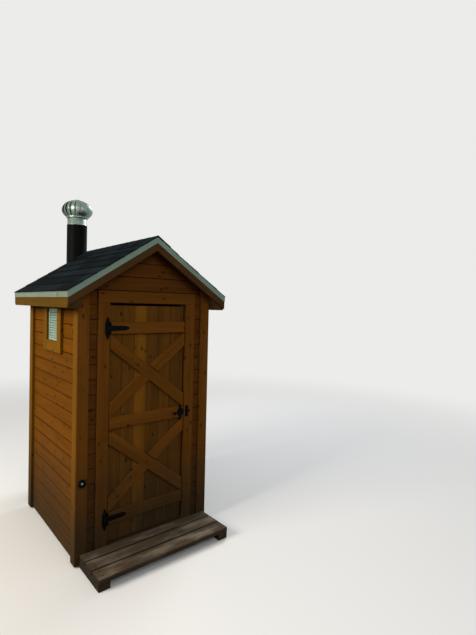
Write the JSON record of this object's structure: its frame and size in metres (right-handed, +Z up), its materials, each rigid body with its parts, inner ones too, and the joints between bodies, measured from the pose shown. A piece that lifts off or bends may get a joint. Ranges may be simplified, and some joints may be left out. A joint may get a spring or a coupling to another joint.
{
  "type": "wooden outhouse",
  "caption": "Small wooden outhouse: board walls on skids, shingled gable roof, braced plank door with strap hinges and slide bolt, plank step, side vent, vent stack with turbine head.",
  "frame": {"origin": "ground level under the middle of the cabin, on the underside of the middle skid", "axes": "+Z up, front with the door faces -Y, +X to the right seen from the front"},
  "size_m": [1.454, 2.0949, 3.164],
  "materials": {
    "wall_stain": "satin",
    "trim_stain": "satin",
    "door_stain": "satin",
    "bare_wood": "matte",
    "step_wood": "matte",
    "treated_wood": "matte",
    "asphalt": "granular",
    "drip_metal": "satin",
    "pipe_black": "gloss",
    "galvanised": "satin",
    "black_iron": "satin",
    "black_rubber": "matte",
    "vent_white": "satin"
  },
  "bodies": {
    "building": {"skids": "treated_wood", "floor": "bare_wood", "left_wall": "wall_stain", "right_wall": "wall_stain", "rear_wall": "wall_stain", "front_wall_left": "wall_stain", "front_wall_right": "wall_stain", "front_gable": "wall_stain", "corner_front_left": "trim_stain", "corner_front_right": "trim_stain", "corner_rear_left": "trim_stain", "corner_rear_right": "trim_stain", "casing_left": "trim_stain", "casing_right": "trim_stain", "head_casing": "trim_stain", "vent_frame": "trim_stain", "vent_louvre": "vent_white", "roof_deck_left": "bare_wood", "roof_deck_right": "bare_wood", "shingles_left": "asphalt", "shingles_right": "asphalt", "ridge_cap": "asphalt", "fascia_left": "wall_stain", "fascia_right": "wall_stain", "front_rakes": "trim_stain", "rear_rakes": "trim_stain", "soffit_left": "trim_stain", "soffit_right": "trim_stain", "drip_edge_left": "drip_metal", "drip_edge_right": "drip_metal", "step_boards": "step_wood", "step_supports": "step_wood", "vent_pipe": "pipe_black", "pipe_brackets": "black_iron", "turbine_base": "galvanised", "hinge_plates": "black_iron", "bolt_keeper": "black_iron", "door_bumper": "black_rubber"},
    "door": {"door_boards": "door_stain", "door_rails": "trim_stain", "door_braces": "trim_stain", "hinge_straps": "black_iron", "bolt_housing": "black_iron"},
    "bolt": {"slide_bolt": "black_iron"},
    "turbine": {"turbine_rotor": "galvanised"}
  },
  "joints": [
    {"name": "door_hinge", "type": "hinge", "parent": "building", "child": "door", "pos_m": [-0.352, -0.657, 1.074], "axis": [0, 0, -1], "range_deg": [0, 160]},
    {"name": "bolt_slide", "type": "slide", "parent": "door", "child": "bolt", "axis": [1, 0, 0], "range_m": [0, 0.04]},
    {"name": "turbine_spin", "type": "hinge", "parent": "building", "child": "turbine", "pos_m": [-0.074, 0.907, 2.97], "axis": [0, 0, 1], "continuous": true}
  ]
}
